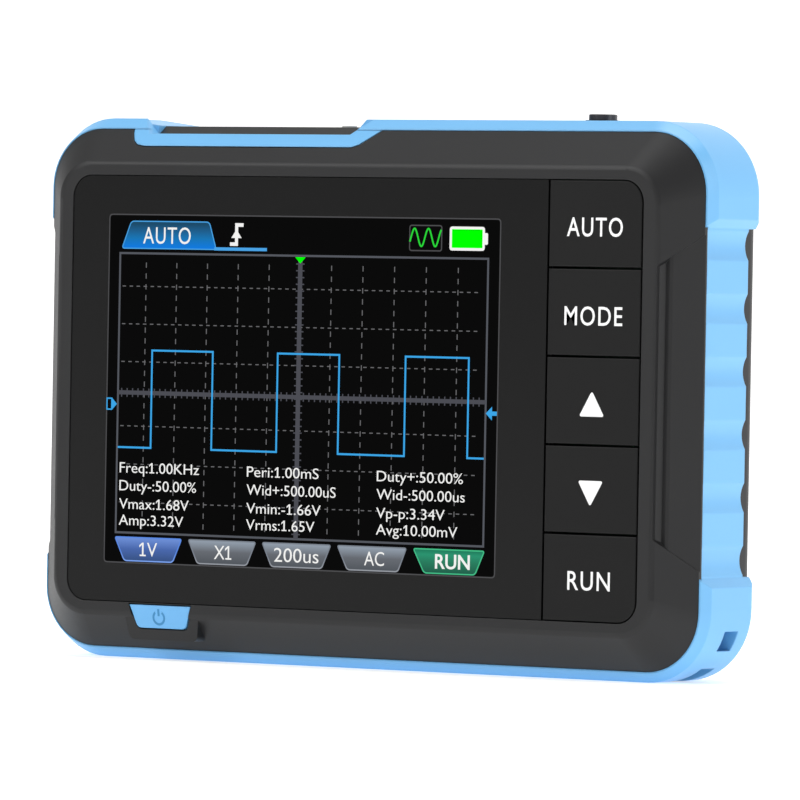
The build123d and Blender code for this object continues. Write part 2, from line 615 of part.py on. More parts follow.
def all_parts():
    """Every sub-part by its name."""
    parts = {
        "front_casing": front_casing(),
        "grip_frame": grip_frame(),
        "rear_cover": rear_cover(),
        "screen_lens": screen_lens(),
        "main_board": main_board(),
        "power_key": power_key(),
        "interface_plate": interface_plate(),
        "case_screws": case_screws(),
        "board_screws": board_screws(),
        "stand": stand(),
        "stand_pin": stand_pin(),
        **screen_parts(),
        **chips(),
        **sockets(),
        **battery_parts(),
    }
    key_x = (KEY_LEFT + KEY_RIGHT) / 2
    places = {name: (key_x, key_z(index)) for index, name in enumerate(KEY_NAMES)}
    places["power"] = (POWER_X, POWER_SWITCH_Z)
    for index, name in enumerate(KEY_NAMES):
        parts[f"key_{name}"] = key(index)
    for name, place in places.items():
        parts[f"switch_{name}"], parts[f"plunger_{name}"] = switch(*place)
    return parts


os.makedirs("parts", exist_ok=True)
for node, solid in all_parts().items():
    export_step(solid, f"parts/{node}.step")
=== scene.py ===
"""The look of a pocket oscilloscope: its plastics, its lit display and its printed legends.

Metres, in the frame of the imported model: +X to the user's right, +Z up, the screen faces -Y.
"""

import json
from math import cos, pi, radians, sin

import bpy
from mathutils import Matrix, Vector


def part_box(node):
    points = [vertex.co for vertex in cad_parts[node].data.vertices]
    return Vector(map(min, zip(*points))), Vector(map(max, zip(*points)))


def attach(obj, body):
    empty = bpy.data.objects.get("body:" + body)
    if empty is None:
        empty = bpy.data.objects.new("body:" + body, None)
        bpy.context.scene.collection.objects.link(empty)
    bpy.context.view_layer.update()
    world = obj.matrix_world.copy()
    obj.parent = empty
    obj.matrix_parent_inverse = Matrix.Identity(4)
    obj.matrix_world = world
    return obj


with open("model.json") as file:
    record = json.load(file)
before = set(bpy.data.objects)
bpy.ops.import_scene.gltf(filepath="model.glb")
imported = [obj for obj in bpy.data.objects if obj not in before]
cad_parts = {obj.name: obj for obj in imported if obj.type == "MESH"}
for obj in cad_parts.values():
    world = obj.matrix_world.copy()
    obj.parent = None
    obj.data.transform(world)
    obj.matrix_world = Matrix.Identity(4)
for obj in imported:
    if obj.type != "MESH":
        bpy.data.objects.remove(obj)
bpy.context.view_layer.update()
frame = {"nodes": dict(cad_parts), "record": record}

MM = 0.001
MIDDLE = 34.15                       # height of the screen's middle above the table
LENS_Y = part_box("screen_lens")[0].y  # the lens's outer face
KEY_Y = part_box("key_mode")[0].y      # the keys' outer faces
FRONT_Y = -9.75                      # the casing's front, in mm
INK = 0.02                           # thickness of a printed or lit layer, in mm
ROOT = "instrument"


# ---------------------------------------------------------------- materials

# the shader sockets that have no name of their own
VALUE, FROM_LOW, FROM_HIGH, TO_LOW, TO_HIGH = range(5)
MIX_FACTOR, MIX_FIRST, MIX_SECOND, MIX_COLOUR = 0, 6, 7, 2

NOISE_LOW, NOISE_HIGH = 0.3, 0.7     # what nearly all of a noise pattern lies between
DRIFT = 14.0                         # how far apart the slow shifts of tone are, in mm
GRAIN_DEPTH = 0.02                   # depth of a moulded grain at full strength, in mm
BRUSH_DEPTH = 0.01                   # depth of the lines in a metal at full strength, in mm
BRUSH_STRETCH = (1.0, 1.0, 0.05)     # the lines are twenty times as long as they are wide
METAL_SPREAD = 0.08
BEVEL_SAMPLES = 4
MOTTLE = 0.3                         # size of the mottle in printed ink, in mm
INK_ROUGHNESS = 0.45
INK_SPREAD = 0.06


def linear(hex_colour):
    """An sRGB hex colour as the linear colour that the shaders take."""
    channels = [int(hex_colour[i:i + 2], 16) / 255 for i in (1, 3, 5)]
    return tuple(c / 12.92 if c <= 0.04045 else ((c + 0.055) / 1.055) ** 2.4 for c in channels) + (1.0,)


def add_node(material, kind, settings=(), links=()):
    """Adds a node to a material, with its settings and its links."""
    made = material.node_tree.nodes.new(kind)
    for name, value in dict(settings).items():
        if isinstance(name, int) or name in made.inputs:
            made.inputs[name].default_value = value
        else:
            setattr(made, name, value)
    for name, source in dict(links).items():
        material.node_tree.links.new(source, made.inputs[name])
    return made


def blank(name):
    """A new, empty material, and the node that gives places in the object's own metres."""
    material = bpy.data.materials.new(name)
    material.use_nodes = True
    material.node_tree.nodes.clear()
    return material, add_node(material, "ShaderNodeTexCoord")


def close(material, shader):
    """Ends a material at its surface output."""
    add_node(material, "ShaderNodeOutputMaterial", links={"Surface": shader.outputs[0]})
    return material


def noise(material, where, size, **settings):
    """A noise pattern whose features are about that many mm across."""
    return add_node(material, "ShaderNodeTexNoise", {"Scale": 1 / (size * MM), **settings},
                    {"Vector": where})


def uneven(material, pattern, roughness, spread):
    """A roughness that a noise pattern shifts up and down by the spread."""
    limits = {FROM_LOW: NOISE_LOW, FROM_HIGH: NOISE_HIGH,
              TO_LOW: roughness - spread, TO_HIGH: roughness + spread}
    return add_node(material, "ShaderNodeMapRange", limits, {VALUE: pattern.outputs["Fac"]})


def plastic(name, dark, light, roughness, grain, depth, edge=0.12, spread=0.05, **finish):
    """A moulded plastic: a sparked grain of that size in mm, a slow shift of tone, and softened edges."""
    material, at = blank(name)
    spark = noise(material, at.outputs["Object"], grain, Detail=2.0, Roughness=0.6)
    drift = noise(material, at.outputs["Object"], DRIFT, Detail=3.0, Roughness=0.5)
    tone = add_node(material, "ShaderNodeMix", {"data_type": "RGBA", "blend_type": "MIX"},
                    {MIX_FACTOR: drift.outputs["Fac"]})
    tone.inputs[MIX_FIRST].default_value = linear(dark)
    tone.inputs[MIX_SECOND].default_value = linear(light)
    sheen = uneven(material, spark, roughness, spread)
    soft = add_node(material, "ShaderNodeBevel", {"samples": BEVEL_SAMPLES, "Radius": edge * MM})
    bump = add_node(material, "ShaderNodeBump", {"Strength": depth, "Distance": GRAIN_DEPTH * MM},
                    {"Height": spark.outputs["Fac"], "Normal": soft.outputs["Normal"]})
    shader = add_node(material, "ShaderNodeBsdfPrincipled", {"Specular IOR Level": 0.5, **finish},
                      {"Base Color": tone.outputs[MIX_COLOUR], "Roughness": sheen.outputs[0],
                       "Normal": bump.outputs["Normal"]})
    return close(material, shader)


def metal(name, colour, roughness, brush=0.15):
    """A plated or drawn metal, with lines of that width in mm that run upwards."""
    material, at = blank(name)
    stretch = add_node(material, "ShaderNodeMapping", {"Scale": BRUSH_STRETCH},
                       {"Vector": at.outputs["Object"]})
    lines = noise(material, stretch.outputs[0], brush, Detail=3.0)
    sheen = uneven(material, lines, roughness, METAL_SPREAD)
    bump = add_node(material, "ShaderNodeBump", {"Strength": 0.15, "Distance": BRUSH_DEPTH * MM},
                    {"Height": lines.outputs["Fac"]})
    shader = add_node(material, "ShaderNodeBsdfPrincipled", {"Base Color": linear(colour), "Metallic": 1.0},
                      {"Roughness": sheen.outputs[0], "Normal": bump.outputs["Normal"]})
    return close(material, shader)


def lit(name, stops, low=0.0, high=1.0):
    """A lit colour that runs up through its stops, from low to high mm above the screen's middle."""
    material, at = blank(name)
    apart = add_node(material, "ShaderNodeSeparateXYZ", links={0: at.outputs["Object"]})
    limits = {FROM_LOW: (MIDDLE + low) * MM, FROM_HIGH: (MIDDLE + high) * MM}
    height = add_node(material, "ShaderNodeMapRange", limits, {VALUE: apart.outputs["Z"]})
    ramp = add_node(material, "ShaderNodeValToRGB", links={0: height.outputs[0]})
    for _ in stops[2:]:
        ramp.color_ramp.elements.new(0.5)
    for element, (position, colour) in zip(ramp.color_ramp.elements, stops):
        element.position = position
        element.color = linear(colour)
    shader = add_node(material, "ShaderNodeBsdfPrincipled",
                      {"Base Color": linear("#000000"), "Roughness": 0.5, "Specular IOR Level": 0.0,
                       "Emission Strength": 1.0},
                      {"Emission Color": ramp.outputs[0]})
    return close(material, shader)


def one_colour(name, colour):
    """A single lit colour."""
    return lit(name, ((0.0, colour), (1.0, colour)))


def printed(name, colour):
    """Pad-printed ink: an even film with a faint mottle."""
    material, at = blank(name)
    mottle = noise(material, at.outputs["Object"], MOTTLE, Detail=2.0)
    sheen = uneven(material, mottle, INK_ROUGHNESS, INK_SPREAD)
    shader = add_node(material, "ShaderNodeBsdfPrincipled",
                      {"Base Color": linear(colour), "Specular IOR Level": 0.3},
                      {"Roughness": sheen.outputs[0]})
    return close(material, shader)


# Each finish is for one slot of the record: what the material is, and how its surface was made.
FINISHES = {
    # ABS, injection moulded in a spark-textured tool: matt black that greys where light grazes it
    "casing": plastic("spark_textured_abs", "#1A1A1B", "#1F1F20", 0.44, 0.10, 0.35, 0.15,
                      **{"Specular IOR Level": 0.35}),
    # soft-touch polycarbonate blend in sky blue, moulded in a satin tool: even, with a soft wide highlight
    "frame": plastic("sky_blue_polycarbonate_blend", "#6CB1E3", "#71B5E6", 0.34, 0.25, 0.06, 0.30, 0.02),
    # acrylic, smoked and hard coated: near black and very smooth
    "lens": plastic("smoked_acrylic", "#0F0F0F", "#111111", 0.26, 0.6, 0.01, 0.05, 0.01,
                    **{"Specular IOR Level": 0.18}),
    # ABS keys in a finer texture than the casing: a shade darker than it
    "key": plastic("fine_textured_abs", "#0F0F0F", "#121212", 0.46, 0.08, 0.20, 0.10,
                   **{"Specular IOR Level": 0.2}),
    # ABS in the frame's blue, from a smoother tool
    "power_key": plastic("sky_blue_abs", "#66AFE6", "#6AB2E8", 0.30, 0.3, 0.02, 0.12, 0.01),
    # black polycarbonate, lightly textured, round the sockets
    "interface_plate": plastic("black_polycarbonate", "#161616", "#1A1A1A", 0.38, 0.12, 0.2, 0.10),
    # the casing's resin, from a smoother tool
    "stand": plastic("satin_black_abs", "#202021", "#252526", 0.42, 0.14, 0.25, 0.15),
    # zinc-plated steel: pale grey, with fine lines along it
    "steel": metal("zinc_plated_steel", "#B4B6B8", 0.32),
    # black nickel plated over brass: dark and fairly smooth
    "jack_shell": metal("black_nickel_plate", "#4A4A4D", 0.30),
    # hard gold plated over brass
    "jack_contact": metal("gold_plate", "#E6BE6A", 0.22),
    # PTFE, turned: waxy white
    "jack_insulator": plastic("turned_ptfe", "#DEDED8", "#E6E6E0", 0.50, 0.3, 0.1, 0.05),
    # drawn steel shell, nickel plated
    "usb_shell": metal("nickel_plated_shell", "#C4C4C2", 0.24),
    # glass-filled nylon: matt, with the fibres' fine roughness
    "socket_plastic": plastic("glass_filled_nylon", "#141414", "#1B1B1B", 0.55, 0.1, 0.3, 0.05),
    # clear polycarbonate, which looks milky at this size
    "light_pipe": plastic("clear_light_pipe", "#D8DAD6", "#E2E4E0", 0.25, 0.5, 0.03, 0.08),
    # pale yellow silicone over the light's phosphor
    "led": plastic("led_resin", "#E8DC9A", "#F0E6A8", 0.20, 0.4, 0.02, 0.05),
    # polarizing film laminated on the display: dark and even
    "display_glass": plastic("polarizer_film", "#0B0B0B", "#0D0D0D", 0.35, 0.4, 0.03, 0.05),
    # aluminium sheet, stamped, with wide drawing lines
    "tray": metal("stamped_aluminium", "#BFC1C4", 0.38, 0.2),
    # closed-cell foam, die cut: black and open-grained
    "gasket": plastic("closed_cell_foam", "#171717", "#202020", 0.80, 0.25, 0.6, 0.05),
    # polyimide film: amber and smooth
    "flat_cable": plastic("polyimide_film", "#B0691C", "#B87324", 0.30, 0.5, 0.05, 0.05),
    # green solder mask over glass-epoxy board
    "circuit_board": plastic("solder_mask", "#12522E", "#165A34", 0.32, 0.5, 0.1, 0.05),
    # black epoxy, transfer moulded
    "chip": plastic("moulded_epoxy", "#1B1B1C", "#222223", 0.55, 0.12, 0.3, 0.05),
    # steel sheet, tinned
    "component_metal": metal("tinned_steel", "#C8C8C8", 0.35),
    # pale grey moulded resin
    "relay": plastic("relay_case_resin", "#C9C8C2", "#D2D1CB", 0.45, 0.2, 0.1, 0.08),
    # orange glaze over ceramic
    "trimmer": plastic("ceramic_glaze", "#B4571C", "#BC6022", 0.30, 0.3, 0.1, 0.05),
    # black acetal: slightly waxy
    "plunger": plastic("acetal", "#1C1C1C", "#222222", 0.40, 0.2, 0.1, 0.05),
    # aluminium foil laminated with nylon, round the cell
    "battery_foil": metal("laminated_foil", "#C9CBCF", 0.34, 0.4),
    # white foam tape
    "tape": plastic("foam_tape", "#E4E4DF", "#ECECE6", 0.75, 0.2, 0.4, 0.05),
    # uncoloured nylon: ivory
    "connector": plastic("natural_nylon", "#DDDACB", "#E6E3D5", 0.45, 0.2, 0.1, 0.05),
    # silicone insulation, red and black
    "lead_red": plastic("red_silicone", "#A01818", "#AA1E1E", 0.40, 0.2, 0.1, 0.05),
    "lead_black": plastic("black_silicone", "#161616", "#1C1C1C", 0.40, 0.2, 0.1, 0.05),
}

for entry in frame["record"]["subparts"]:
    part = frame["nodes"][entry["node"]]
    for holder in part.material_slots:
        holder.material = FINISHES[entry["material_slot"]]

# the keys' white ink, and the power symbol's deeper blue
WHITE_INK = printed("white_pad_print", "#F2F2F2")
BLUE_INK = printed("deep_blue_pad_print", "#3E87BA")
# the display's dark field, its lines and its signs
FIELD = one_colour("dark_field", "#0B0B0B")
EDGE_LINE = one_colour("field_edge", "#4E4E50")
GRID_GREY = one_colour("grid_grey", "#55585F")
DASH_GREY = one_colour("dash_grey", "#6C6C6E")
AXIS_GREY = one_colour("axis_grey", "#4C4D54")
TRACE_BLUE = one_colour("trace_blue", "#3CA6E8")
LIT_WHITE = one_colour("lit_white", "#F4F4F2")
LIT_GREEN = one_colour("lit_green", "#00FF00")
SINE_GREEN = one_colour("sine_green", "#2BD63A")
TAB_EDGE_BLUE = one_colour("tab_edge_blue", "#4AA3E6")
# the tabs' fills, which run from a deep foot to a pale head (the top row's tab the other way round)
HEAD_SPAN = (17.7, 21.1)
FOOT_SPAN = (-21.7, -18.6)
RIM_SPAN = (-21.8, -20.5)
HEAD_TAB = lit("head_tab", ((0.0, "#117AE3"), (0.375, "#1A75B4"), (0.625, "#206191"), (0.9, "#1E4B69")),
               *HEAD_SPAN)
FOOT_FILLS = {
    "blue": lit("foot_blue", ((0.0, "#37507F"), (0.5, "#4A68AC"), (1.0, "#7294DC")), *FOOT_SPAN),
    "grey": lit("foot_grey", ((0.0, "#51565C"), (0.5, "#676B72"), (1.0, "#98A4B2")), *FOOT_SPAN),
    "green": lit("foot_green", ((0.0, "#235C49"), (0.45, "#2A7C5E"), (0.75, "#2C9370"), (1.0, "#1C7052")),
                 *FOOT_SPAN),
}
FOOT_EDGES = {
    "blue": lit("foot_edge_blue", ((0.0, "#7FA6F2"), (1.0, "#5C8AE4")), *RIM_SPAN),
    "grey": lit("foot_edge_grey", ((0.0, "#9A9EA6"), (1.0, "#7C838E")), *RIM_SPAN),
    "green": one_colour("foot_edge_green", "#45BE88"),
}


# ---------------------------------------------------------------- modelling

ARC_STEPS = 4                        # straight runs in each rounded corner
WELD = 1e-7                          # vertices nearer than this many metres become one
# a figure one's flag and foot, as parts of the capitals' height
FLAG_OUT = 0.24
FLAG_THICK = 0.15
FLAG_DROP = 0.2
FOOT_OUT = 0.2
FOOT_THICK = 0.11


def place(x, y, z):
    """A point in metres, from x and z in mm, with z above the screen's middle, and y in metres."""
    return Vector((x * MM, y, (z + MIDDLE) * MM))


def choose(obj):
    """Makes one object the only selected one."""
    if bpy.context.mode != "OBJECT":
        bpy.ops.object.mode_set(mode="OBJECT")
    bpy.ops.object.select_all(action="DESELECT")
    obj.select_set(True)
    bpy.context.view_layer.objects.active = obj


def settle(name, *materials):
    """Names the active object and applies its place, so that it lies at the origin."""
    obj = bpy.context.object
    obj.name = name
    obj.data.name = name
    choose(obj)
    bpy.ops.object.transform_apply(location=True, rotation=True, scale=True)
    for material in materials:
        obj.data.materials.append(material)
    return obj


def join(name, parts):
    """Joins several objects into the first, and names it."""
    choose(parts[0])
    for part in parts[1:]:
        part.select_set(True)
    if len(parts) > 1:
        bpy.ops.object.join()
    made = bpy.context.object
    made.name = name
    made.data.name = name
    return made


def set_in(obj, body):
    """Hands a finished piece to its body."""
    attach(obj, body)
    return obj


def bars(name, y, spans, *materials):
    """Thin raised bars (x low, x high, z low, z high), each a cube drawn out, in one object."""
    for index, (x0, x1, z0, z1) in enumerate(spans):
        centre = place((x0 + x1) / 2, y + INK * MM / 2, (z0 + z1) / 2)
        size = ((x1 - x0) * MM, INK * MM, (z1 - z0) * MM)
        if index == 0:
            bpy.ops.object.select_all(action="DESELECT")
        bpy.ops.mesh.primitive_cube_add(size=1, location=centre, scale=size)
        if index == 0:
            bpy.ops.object.transform_apply(location=True, rotation=True, scale=True)
            bpy.ops.object.mode_set(mode="EDIT")
    bpy.ops.object.mode_set(mode="OBJECT")
    return settle(name, *materials)


def repeat(obj, count, step):
    """Repeats an object's shape along a step in mm, for good."""
    choose(obj)
    rows = obj.modifiers.new("rows", "ARRAY")
    rows.use_relative_offset = False
    rows.use_constant_offset = True
    rows.constant_offset_displace = (step[0] * MM, 0.0, step[1] * MM)
    rows.count = count
    bpy.ops.object.modifier_apply(modifier="rows")
    return obj


def pick(obj, test):
    """Selects the vertices that pass a test and nothing else. It needs object mode."""
    for face in obj.data.polygons:
        face.select = False
    for line in obj.data.edges:
        line.select = False
    for vertex in obj.data.vertices:
        vertex.select = test(vertex.co)


def tab(name, y, x_top, x_foot, z, edge, corner, fill, edging):
    """A tapered label on the screen: a plane narrowed at one end, its corners rounded, its rim inset."""
    bpy.ops.object.select_all(action="DESELECT")
    centre = place((x_top[0] + x_top[1]) / 2, y + INK * MM, (z[0] + z[1]) / 2)
    bpy.ops.mesh.primitive_plane_add(size=1, location=centre, rotation=(pi / 2, 0, 0))
    bpy.context.object.scale = ((x_top[1] - x_top[0]) * MM, (z[1] - z[0]) * MM, 1)
    obj = settle(name, edging, fill)
    foot = (x_foot[1] - x_foot[0]) / (x_top[1] - x_top[0])
    shift = ((x_foot[0] + x_foot[1]) - (x_top[0] + x_top[1])) / 2
    pick(obj, lambda co: co.z < centre.z)
    bpy.ops.object.mode_set(mode="EDIT")
    bpy.ops.transform.resize(value=(foot, 1, 1), center_override=centre)
    bpy.ops.transform.translate(value=(shift * MM, 0, 0))
    bpy.ops.mesh.select_all(action="SELECT")
    if corner:
        bpy.ops.mesh.bevel(affect="VERTICES", offset=corner * MM, segments=ARC_STEPS)
    bpy.ops.mesh.select_all(action="SELECT")
    bpy.ops.mesh.extrude_region_move(TRANSFORM_OT_translate={"value": (0, -INK * MM, 0)})
    bpy.ops.mesh.select_all(action="SELECT")
    bpy.ops.mesh.normals_make_consistent(inside=False)
    bpy.ops.object.mode_set(mode="OBJECT")
    front = min(vertex.co.y for vertex in obj.data.vertices)
    pick(obj, lambda co: co.y < front + INK * MM / 2)
    bpy.ops.object.mode_set(mode="EDIT")
    bpy.ops.mesh.select_mode(type="VERT")
    bpy.ops.mesh.select_mode(type="FACE")
    bpy.ops.mesh.inset(thickness=edge * MM, depth=0)
    bpy.context.object.active_material_index = 1
    bpy.ops.object.material_slot_assign()
    bpy.ops.mesh.select_mode(type="VERT")
    bpy.ops.object.mode_set(mode="OBJECT")
    return obj


def lettering(name, y, words, x, z, width, cap, material, weight=0.0, centred=False, spacing=1.0):
    """Raised letters of a stated width and capital height in mm, from x or about it, on the line at z."""
    bpy.ops.object.select_all(action="DESELECT")
    bpy.ops.object.text_add()
    curve = bpy.context.object.data
    curve.body = words
    curve.extrude = 0.5               # half of a depth of 1, which the scale turns into the ink's
    curve.offset = weight
    curve.space_character = spacing
    curve.resolution_u = ARC_STEPS
    bpy.ops.object.convert(target="MESH")
    obj = bpy.context.object
    across = [vertex.co.x for vertex in obj.data.vertices]
    low, high = min(across), max(across)
    stretch = width * MM / (high - low)
    start = x - width / 2 if centred else x
    obj.data.transform(Matrix.Translation((-low, 0, 0)))
    obj.scale = (stretch, cap * MM / CAPITAL, INK * MM)
    obj.rotation_euler = (pi / 2, 0, 0)
    obj.location = place(start, y + INK * MM / 2, z)
    made = settle(name, material)
    bpy.ops.object.mode_set(mode="EDIT")
    bpy.ops.mesh.select_all(action="SELECT")
    bpy.ops.mesh.remove_doubles(threshold=WELD)
    bpy.ops.mesh.normals_make_consistent(inside=False)
    bpy.ops.object.mode_set(mode="OBJECT")
    return flag_ones(made, y, cap, material) if "1" in words else made


def flag_ones(word, y, cap, material):
    """Gives every figure one its flag and its foot, which the built-in lettering leaves out."""
    name = word.name
    choose(word)
    bpy.ops.mesh.separate(type="LOOSE")
    glyphs = list(bpy.context.selected_objects)
    flags, feet, ends = [], [], []
    for glyph in glyphs:
        across = [vertex.co.x / MM for vertex in glyph.data.vertices]
        up = [vertex.co.z / MM - MIDDLE for vertex in glyph.data.vertices]
        tall_block = len(across) == 8 and max(up) - min(up) > 0.9 * cap
        if tall_block:
            x0, x1, z0, z1 = min(across), max(across), min(up), max(up)
            flags.append((x0 - FLAG_OUT * cap, x0 + 0.01, z1 - FLAG_THICK * cap, z1))
            feet.append((x0 - FOOT_OUT * cap, x1 + FOOT_OUT * cap, z0, z0 + FOOT_THICK * cap))
            ends.append(x0 - FLAG_OUT * cap)
    if not flags:
        return join(name, glyphs)
    flag = bars("flags", y, flags, material)
    pick(flag, lambda co: any(abs(co.x / MM - end) < 0.01 for end in ends))
    bpy.ops.object.mode_set(mode="EDIT")
    bpy.ops.transform.translate(value=(0, 0, -FLAG_DROP * cap * MM))
    bpy.ops.object.mode_set(mode="OBJECT")
    return join(name, glyphs + [flag, bars("feet", y, feet, material)])


def capital_height():
    """How tall a capital is in the built-in lettering at size 1."""
    bpy.ops.object.select_all(action="DESELECT")
    bpy.ops.object.text_add()
    bpy.context.object.data.body = "H"
    bpy.ops.object.convert(target="MESH")
    tall = max(vertex.co.y for vertex in bpy.context.object.data.vertices)
    bpy.ops.object.delete()
    return tall


CAPITAL = capital_height()


def pointer(name, y, centre, size, turn, material, corner=0.0, stretch=(1.0, 1.0)):
    """A three-cornered mark that points up, turned by an angle, with eased corners."""
    bpy.ops.object.select_all(action="DESELECT")
    bpy.ops.mesh.primitive_circle_add(vertices=3, radius=size * MM, fill_type="NGON",
                                      location=(0, 0, 0), rotation=(0, 0, 0))
    bpy.ops.object.mode_set(mode="EDIT")
    bpy.ops.mesh.select_all(action="SELECT")
    if corner:
        bpy.ops.mesh.bevel(affect="VERTICES", offset=corner * MM, segments=ARC_STEPS)
    bpy.ops.mesh.select_all(action="SELECT")
    bpy.ops.mesh.extrude_region_move(TRANSFORM_OT_translate={"value": (0, 0, INK * MM)})
    bpy.ops.mesh.select_all(action="SELECT")
    bpy.ops.mesh.normals_make_consistent(inside=False)
    bpy.ops.object.mode_set(mode="OBJECT")
    obj = bpy.context.object
    obj.data.transform(Matrix.Diagonal((stretch[0], stretch[1], 1, 1)))
    obj.data.transform(Matrix.Rotation(radians(turn), 4, "Z"))
    obj.rotation_euler = (pi / 2, 0, 0)
    obj.location = place(centre[0], y + INK * MM, centre[1])
    return settle(name, material)


def ribbon(name, y, points, half_width, material):
    """A drawn line of even width through points in mm: a round bar along them, pressed flat."""
    data = bpy.data.curves.new(name, "CURVE")
    data.dimensions = "3D"
    data.bevel_depth = half_width * MM
    data.bevel_resolution = 1
    line = data.splines.new("POLY")
    line.points.add(len(points) - 1)
    for point, (x, z) in zip(line.points, points):
        point.co = (*place(x, y, z), 1)
    obj = bpy.data.objects.new(name, data)
    bpy.context.scene.collection.objects.link(obj)
    choose(obj)
    bpy.ops.object.convert(target="MESH")
    obj = bpy.context.object
    obj.data.transform(Matrix.Translation((0, -y, 0)))
    obj.data.transform(Matrix.Diagonal((1, INK / half_width / 2, 1, 1)))
    obj.data.transform(Matrix.Translation((0, y, 0)))
    return settle(name, material)


# ---------------------------------------------------------------- display

FIELD_X = (-36.9, 22.0)
FIELD_Z = (-22.0, 22.0)
GRID_X = (-35.1, 20.2)
GRID_Z = (-18.15, 17.05)
AXIS_X = -7.6
AXIS_Z = -0.5
DIVISION = 4.69                       # between two upright rows of dashes
ROWS_Z = (3.9, 8.65, 13.4, -4.2, -9.0, -13.8)    # the level rows of dashes, from the level axis
TICK = 0.84
LINE_HALF = 0.13                      # half widths of the border, of a dash and of a tick
DASH_HALF = 0.06
TICK_HALF = 0.08
UPRIGHT_PITCH = 1.36                  # from dash to dash along a row
LEVEL_PITCH = 1.08
AXIS_HALF = (0.32, 0.26)              # half widths of the upright axis and the level one
TICK_REACH = (0.62, 0.55)             # how far their ticks reach to each side
TICK_COUNT = (41, 65)

# the display is drawn in thin layers, each one lying on the one before
LAYER = -INK * MM
face = tab("display_field", LENS_Y + LAYER, FIELD_X, FIELD_X, FIELD_Z, 0.16, 0.5, FIELD, EDGE_LINE)
set_in(face, ROOT)
on_field = LENS_Y + 2 * LAYER
on_grid = LENS_Y + 2.6 * LAYER
on_axis = LENS_Y + 3.2 * LAYER
on_trace = LENS_Y + 3.8 * LAYER


def grid():
    """The measuring grid: its border, dashed divisions, and two ticked axes."""
    left, right = GRID_X
    low, high = GRID_Z
    border = bars("grid_border", on_field, [
        (left - LINE_HALF, right + LINE_HALF, high - LINE_HALF, high + LINE_HALF),
        (left - LINE_HALF, right + LINE_HALF, low - LINE_HALF, low + LINE_HALF),
        (left - LINE_HALF, left + LINE_HALF, low + LINE_HALF, high - LINE_HALF),
        (right - LINE_HALF, right + LINE_HALF, low + LINE_HALF, high - LINE_HALF),
    ], GRID_GREY)
    columns = [AXIS_X + DIVISION * n for n in range(-5, 7) if n]
    columns = [x for x in columns if x < right - 1]
    dashes = [(x - DASH_HALF, x + DASH_HALF, low + 0.75, low + 1.4) for x in columns]
    upright = bars("upright_dashes", on_field, dashes, DASH_GREY)
    repeat(upright, int((high - low - 0.4) / UPRIGHT_PITCH), (0, UPRIGHT_PITCH))
    rows = [z + AXIS_Z for z in ROWS_Z]
    dashes = [(left + 0.45, left + 0.95, z - DASH_HALF, z + DASH_HALF) for z in rows]
    level = bars("level_dashes", on_field, dashes, DASH_GREY)
    repeat(level, int((right - left - 0.5) / LEVEL_PITCH), (LEVEL_PITCH, 0))
    wide, tall = AXIS_HALF
    axes = bars("axes", on_grid, [
        (AXIS_X - wide, AXIS_X + wide, low, high),
        (left, AXIS_X - wide, AXIS_Z - tall, AXIS_Z + tall),
        (AXIS_X + wide, right, AXIS_Z - tall, AXIS_Z + tall),
    ], AXIS_GREY)
    out, up = TICK_REACH
    tick = (AXIS_X - out, AXIS_X + out, low + 0.5, low + 0.5 + 2 * TICK_HALF)
    upright_ticks = bars("upright_ticks", on_grid, [tick], AXIS_GREY)
    repeat(upright_ticks, TICK_COUNT[0], (0, TICK))
    tick = (left + 0.5, left + 0.5 + 2 * TICK_HALF, AXIS_Z - up, AXIS_Z + up)
    level_ticks = bars("level_ticks", on_grid, [tick], AXIS_GREY)
    repeat(level_ticks, TICK_COUNT[1], (TICK, 0))
    set_in(join("grid_lines", [border, upright, level]), ROOT)
    set_in(join("grid_axes", [axes, upright_ticks, level_ticks]), ROOT)


WAVE_LOW = -7.4
WAVE_HIGH = 4.86
WAVE_HALF = 0.12
RISES = (-29.9, -10.75, 8.35)
FALLS = (-20.6, -1.5, 17.65)


def square_wave():
    """The trace: a square wave, three periods across the grid."""
    low = (WAVE_LOW - WAVE_HALF, WAVE_LOW + WAVE_HALF)
    high = (WAVE_HIGH - WAVE_HALF, WAVE_HIGH + WAVE_HALF)
    between = (WAVE_LOW + WAVE_HALF, WAVE_HIGH - WAVE_HALF)
    spans = [(GRID_X[0] + LINE_HALF, RISES[0] + WAVE_HALF, *low)]
    nexts = [rise + WAVE_HALF for rise in RISES[1:]] + [GRID_X[1] - LINE_HALF]
    for rise, fall, after in zip(RISES, FALLS, nexts):
        spans.append((rise - WAVE_HALF, rise + WAVE_HALF, *between))
        spans.append((rise - WAVE_HALF, fall + WAVE_HALF, *high))
        spans.append((fall - WAVE_HALF, fall + WAVE_HALF, *between))
        spans.append((fall - WAVE_HALF, after, *low))
    set_in(bars("square_wave", on_trace, spans, TRACE_BLUE), ROOT)


WAVE_BOX_X = (8.55, 13.4)
WAVE_BOX_Z = (17.85, 21.1)
SINE_LENGTH = 4.6
SINE_HEIGHT = 1.1
SINE_PERIODS = 2.25
SINE_STEPS = 48


